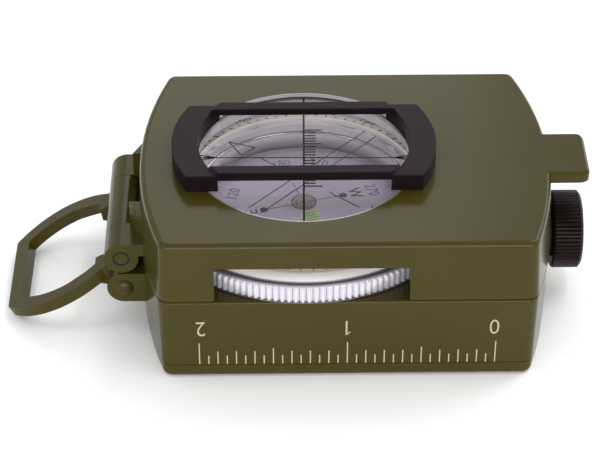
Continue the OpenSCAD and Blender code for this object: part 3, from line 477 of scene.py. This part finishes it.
def makeSeams(s):
    bm = bmesh.new()
    alongPin = Matrix.Rotation(math.pi / 2, 4, "X")
    # each ring is painted shade in a gap
    for inner, outer, y, width in s["rings"]:
        for side in (-1, 1):
            place = Matrix.Translation((s["x"] * mm, side * y * mm, s["z"] * mm)) @ alongPin
            addRing(bm, flatProfile(inner, outer, -width / 2, width / 2), s["segments"], place)
    finishPiece("hinge_gap_shade", bm, "printAndShadeBlack", "lid")


makeSeams(seams)
print("hinge seams set")


# ruler on the front edge, read from the far side

ruler = {
    "zeroX": 32.5, "inches": 2, "inch": 25.4, "parts": 16, "tickWidth": 0.2, "tickGap": 0.02,
    "heights": {16: 4.66, 8: 3.46, 2: 2.81, 1: 1.86},  # of every 16th, 8th, 2nd and 1st tick
    "digitHeight": 3.1, "digitGap": 1.6, "digitShift": (-0.38, -0.2, 0.34),
    "flagSize": 0.24, "flagOut": 0.42, "flagDown": 0.5, "flagLength": 1.2, "flagTurn": 40,
    "footY": -26.80, "footZ": 3.0, "topY": -27.10, "topZ": 16.1,
}


def makeRuler(r):
    lean = math.atan2(r["footY"] - r["topY"], r["topZ"] - r["footZ"])
    foot = Matrix.Translation((0, r["footY"] * mm, r["footZ"] * mm))
    face = foot @ Matrix.Rotation(lean + math.pi / 2, 4, "X")
    tall = r["heights"][r["parts"]]
    bm = bmesh.new()
    for i in range(r["inches"] * r["parts"] + 1):
        height = next(size for every, size in r["heights"].items() if i % every == 0)
        x = r["zeroX"] - i * r["inch"] / r["parts"]
        y = r["tickGap"] + height / 2
        addBar(bm, face @ Matrix.Translation((x * mm, y * mm, 0)), r["tickWidth"], height)
    for i in range(r["inches"] + 1):
        x = r["zeroX"] - i * r["inch"] + r["digitShift"][i]
        y = r["tickGap"] + tall + r["digitGap"] + r["digitHeight"] / 2
        spot = face @ Matrix.Translation((x * mm, y * mm, 0)) @ Matrix.Rotation(math.pi, 4, "Z")
        addWord(bm, str(i), r["digitHeight"], spot)
        if i == 1:  # the short slanting stroke of the 1
            reach = r["flagSize"] * r["digitHeight"]
            lift = 0.5 * r["digitHeight"] - reach * r["flagDown"]
            tip = spot @ Matrix.Translation((-reach * r["flagOut"] * mm, lift * mm, 0))
            slant = Matrix.Rotation(math.radians(r["flagTurn"]), 4, "Z")
            addBar(bm, tip @ slant, reach * r["flagLength"], r["tickWidth"])
    finishPiece("ruler_print", bm, "printCream", "base")


makeRuler(ruler)
print("ruler printed")


# turning scale: marks on the cone of the bezel

turningScale = {
    "outerR": 24.9, "outerZ": 21.25, "innerR": 20.25, "innerZ": 23.0,
    "markR": 21.1, "markStep": 10, "dashStart": 8, "dashLength": 1.3, "dashWidth": 0.28,
    "dotStart": 3, "dotRadius": 0.26, "dotSides": 12,
    "numeralR": 23.1, "numeralHeight": 1.9, "numeralStart": 138, "numeralStep": 20, "first": 80,
    "tickR": 24.35, "tickStep": 5, "tickLength": 0.7, "tickWidth": 0.14,
}


def onCone(s, angle, radius):
    drop = (s["innerZ"] - s["outerZ"]) / (s["outerR"] - s["innerR"])
    z = s["innerZ"] - (radius - s["innerR"]) * drop
    return around(angle, radius, z, math.degrees(math.atan(drop)))


def makeScale(s):
    bm = bmesh.new()
    for i in range(360 // s["markStep"]):
        turn = s["markStep"] * i
        addBar(bm, onCone(s, s["dashStart"] + turn, s["markR"]), s["dashWidth"], s["dashLength"])
        addDot(bm, onCone(s, s["dotStart"] + turn, s["markR"]), s["dotRadius"], s["dotSides"])
    for i in range(360 // s["tickStep"]):
        tick = onCone(s, s["dotStart"] + s["tickStep"] * i, s["tickR"])
        addBar(bm, tick, s["tickWidth"], s["tickLength"])
    for i in range(360 // s["numeralStep"]):
        number = (s["first"] + s["numeralStep"] * i) % 360
        spot = onCone(s, s["numeralStart"] - s["numeralStep"] * i, s["numeralR"])
        addWord(bm, str(number or 360), s["numeralHeight"], spot)
    finishPiece("scale_print", bm, "printAndShadeBlack", "bezel")


makeScale(turningScale)
print("turning scale printed")


# sighting lines on the bezel's glass: a triangle, two lines on one axis, two across it

bezelLines = {
    "z": 22.86, "width": 0.25, "crossWidth": 0.2,
    "triangle": ((-13.36, 12.09), (-8.58, 10.18), (-11.08, 7.74)),
    "axis": 138.3, "axisOut": (6.7, 10.0), "axisBack": (5.9, 12.8),
    "crossAngle": 48.3, "crossOffsets": (1.65, -0.96), "crossFrom": -12.7, "crossTo": 19.0,
}


def makeBezelLines(s):
    bm = bmesh.new()
    corners = s["triangle"]
    for i in range(3):
        addLine(bm, corners[i], corners[(i + 1) % 3], s["z"], s["width"])
    addSpoke(bm, s["axis"], *s["axisOut"], s["z"], s["width"])
    addSpoke(bm, s["axis"] + 180, *s["axisBack"], s["z"], s["width"])
    for offset in s["crossOffsets"]:
        addSpoke(
            bm, s["crossAngle"], s["crossFrom"], s["crossTo"], s["z"], s["crossWidth"], offset)
    finishPiece("bezel_lines", bm, "printGrey", "bezel")


makeBezelLines(bezelLines)
print("sighting lines printed")


# cross hairs on the window, with a fork at each end and a ladder on the upright one

crossHairs = {
    "z": 27.5, "turn": -0.75, "lineWidth": 0.28, "hairWidth": 0.36,
    "left": -18.2, "right": 18.5, "y": 0.1, "bottom": -19.2, "top": 19.2,
    "forkLength": 2.6, "forkRise": 0.75,
    "ladderPitch": 0.87, "ladderHalf": 10, "ladderEvery": 5,
    "ladderShort": 2.1, "ladderLong": 3.2, "ladderWidth": 0.34,
}


def makeCrossHairs(s):
    bm = bmesh.new()
    z = s["z"]
    addLine(bm, (s["left"], s["y"]), (s["right"], s["y"]), z, s["lineWidth"])
    addLine(bm, (0, s["bottom"]), (0, s["top"]), z, s["hairWidth"])
    for end, side in ((s["left"], 1), (s["right"], -1)):
        for rise in (-s["forkRise"], s["forkRise"]):
            root = (end + side * s["forkLength"], s["y"])
            addLine(bm, (end, s["y"] + rise), root, z, s["lineWidth"])
    for i in range(-s["ladderHalf"], s["ladderHalf"] + 1):
        reach = s["ladderLong"] if i % s["ladderEvery"] == 0 else s["ladderShort"]
        y = s["y"] + i * s["ladderPitch"]
        addLine(bm, (0, y), (reach, y), z, s["ladderWidth"])
    bm.transform(Matrix.Rotation(math.radians(s["turn"]), 4, "Z"))
    finishPiece("cross_hairs", bm, "printAndShadeBlack", "lid")


makeCrossHairs(crossHairs)
print("cross hairs printed")


# floating card: ticks, figures, letters, the glowing north mark, and brown rings under the jewel
# painted as the shade of its rim

card = {
    "z": 17.91, "west": 17.0, "first": 270,
    "tickStep": 2, "tickEvery": 5, "tickOuter": 17.1, "tickShort": 0.9, "tickLong": 1.4,
    "tickWidth": 0.1, "numeralStep": 30, "numeralR": 12.9, "numeralHeight": 1.9,
    "letterR": 9.7, "letterHeight": 2.2, "letterWeight": 0.01, "letterNarrow": 0.9,
    "dotR": 7.4, "dotRadius": 0.72, "dotSides": 20, "lineWidth": 0.12,
    "southFrom": 2.4, "southTo": 6.3,
    "northFrom": 2.9, "northTo": 6.6, "northWidth": 3.2, "northTip": 10.4, "northHead": 4.4,
    "northDepth": 0.02, "stripes": 4, "stripeWidth": 0.14, "stripeGap": 0.75,
    "stripeStart": 0.6, "stripeReach": 0.7, "stripeLift": 0.03,
    "jewelShadeRings": ((2.02, 2.2), (1.3, 1.42), (0.0001, 0.3)), "jewelDepth": 0.03,
    "jewelSegments": 64,
}


def makeCard(s):
    bm = bmesh.new()
    for i in range(360 // s["tickStep"]):
        length = s["tickLong"] if i % s["tickEvery"] == 0 else s["tickShort"]
        spot = around(s["west"] + s["tickStep"] * i, s["tickOuter"] - length / 2, s["z"])
        addBar(bm, spot, s["tickWidth"], length)
    for i in range(360 // s["numeralStep"]):
        number = (s["first"] + s["numeralStep"] * i) % 360
        if number:  # north has its mark instead
            spot = around(s["west"] - s["numeralStep"] * i, s["numeralR"], s["z"])
            addWord(bm, str(number), s["numeralHeight"], spot)
    for i, letter in enumerate("WNES"):
        if letter != "N":
            spot = around(s["west"] - 90 * i, s["letterR"], s["z"])
            addWord(bm, letter, s["letterHeight"], spot, s["letterWeight"], s["letterNarrow"])
    for turn in (s["west"], s["west"] + 180):
        addDot(bm, around(turn, s["dotR"], s["z"]), s["dotRadius"], s["dotSides"])
    addSpoke(bm, s["west"], s["dotR"], -s["dotR"], s["z"], s["lineWidth"])
    addSpoke(bm, s["west"] + 90, s["southFrom"], s["southTo"], s["z"], s["lineWidth"])
    finishPiece("card_print", bm, "printGrey", "dial")


def makeNorthMark(s):
    spot = around(s["west"] - 90, 0, s["z"])
    half, wide = s["northWidth"] / 2, s["northHead"] / 2
    outline = [
        (-half, s["northFrom"]), (half, s["northFrom"]), (half, s["northTo"]),
        (wide, s["northTo"]), (0, s["northTip"]), (-wide, s["northTo"]), (-half, s["northTo"])]
    bm = bmesh.new()
    corners = [bm.verts.new(spot @ Vector((x * mm, y * mm, 0))) for x, y in outline]
    bm.faces.new(corners)
    raised = bmesh.ops.extrude_face_region(bm, geom=bm.faces[:])
    top = [v for v in raised["geom"] if isinstance(v, bmesh.types.BMVert)]
    bmesh.ops.translate(bm, verts=top, vec=(0, 0, s["northDepth"] * mm))
    finishPiece("north_mark", bm, "printGreen", "dial")
    bm = bmesh.new()
    for i in range(s["stripes"]):
        y = s["northFrom"] + s["stripeGap"] * (i + s["stripeStart"])
        place = spot @ Matrix.Translation((0, y * mm, s["stripeLift"] * mm))
        addBar(bm, place, s["northWidth"] * s["stripeReach"], s["stripeWidth"])
    finishPiece("north_stripes", bm, "printGrey", "dial")


def makeJewelRings(s):
    # rings painted as the shaded rim of the jewel, and a dark spot at its centre
    bm = bmesh.new()
    for inner, outer in s["jewelShadeRings"]:
        profile = flatProfile(inner, outer, s["z"], s["z"] + s["jewelDepth"])
        addRing(bm, profile, s["jewelSegments"])
    finishPiece("jewel_shade_rings", bm, "jewelShadeBrown", "dial")


makeCard(card)
makeNorthMark(card)
makeJewelRings(card)
print("card printed")


# floor, light and camera, in metres but for the camera's place

studio = {
    "floorSize": 3.0, "floorColour": (0.95, 0.95, 0.95), "floorRough": 0.7, "floorGloss": 0.2,
    "skyStrength": 0.95, "dimStrength": 0.45, "dimSide": (0.0, -0.6, 0.8),
    "dimFrom": 0.5, "dimTo": 0.95,
    "lamps": {  # place, size and power
        "softBehind": ((0.0, 0.95, 1.0), (0.32, 1.2), 1.6),
        "softSide": ((0.95, 0.8, 1.0), (1.0, 1.2), 9.0),
        "stripRight": ((0.4, -0.1, 1.3), (0.7, 0.1), 2.8),
        "stripLeft": ((-0.55, -0.1, 1.3), (0.4, 0.1), 1.6),
        "softFront": ((0.0, -1.2, 0.35), (1.6, 0.5), 14.0),
    },
    "lampAim": (0, 0, 0.02),
    "lens": 137.018, "sensor": 36, "clip": (0.01, 20),
    "place": (-5.290, -330.735, 254.086), "pitch": 53.906, "yaw": -0.802,
    "paneBounces": 48,  # several panes lie over one another
}


def makeFloor(s):
    bm = bmesh.new()
    bmesh.ops.create_grid(bm, x_segments=2, y_segments=2, size=s["floorSize"])
    mesh = bpy.data.meshes.new("floor")
    bm.to_mesh(mesh)
    bm.free()
    floor = bpy.data.objects.new("floor", mesh)
    bpy.context.scene.collection.objects.link(floor)
    look = {
        "Base Color": s["floorColour"], "Roughness": s["floorRough"],
        "Specular IOR Level": s["floorGloss"]}
    mesh.materials.append(newMaterial("floorPale", look)[0])


def makeSky(s):  # dimmer above the camera's side
    world = bpy.data.worlds.new("studio")
    world.use_nodes = True
    tree = world.node_tree
    sky = tree.nodes["Background"]
    sky.inputs["Color"].default_value = (1, 1, 1, 1)
    near = addMath(
        tree, "ShaderNodeVectorMath", "DOT_PRODUCT", objectPlace(tree), s["dimSide"])
    fade = addNode(tree, "ShaderNodeMapRange", {
        "From Min": s["dimFrom"], "From Max": s["dimTo"],
        "To Min": s["skyStrength"], "To Max": s["dimStrength"]})
    tree.links.new(near.outputs["Value"], fade.inputs["Value"])
    tree.links.new(fade.outputs["Result"], sky.inputs["Strength"])
    bpy.context.scene.world = world


def addLamp(name, place, target, size, power):
    light = bpy.data.lights.new(name, "AREA")
    light.shape = "RECTANGLE"
    light.size, light.size_y = size
    light.energy = power
    lamp = bpy.data.objects.new(name, light)
    bpy.context.scene.collection.objects.link(lamp)
    lamp.location = place
    aim = Vector(target) - Vector(place)
    lamp.rotation_euler = aim.to_track_quat("-Z", "Y").to_euler()


def makeCamera(s):
    camera = bpy.data.cameras.new("camera")
    camera.lens = s["lens"]
    camera.sensor_width = s["sensor"]
    camera.clip_start, camera.clip_end = s["clip"]
    view = bpy.data.objects.new("camera", camera)
    bpy.context.scene.collection.objects.link(view)
    view.location = Vector(s["place"]) * mm
    view.rotation_euler = (math.radians(s["pitch"]), 0, math.radians(s["yaw"]))
    bpy.context.scene.camera = view
    bpy.context.scene.view_settings.view_transform = "Standard"
    bpy.context.scene.view_settings.look = "None"
    bpy.context.scene.cycles.transparent_max_bounces = s["paneBounces"]


makeFloor(studio)
makeSky(studio)
for name, (place, size, power) in studio["lamps"].items():
    addLamp(name, place, studio["lampAim"], size, power)
makeCamera(studio)
print("studio set")
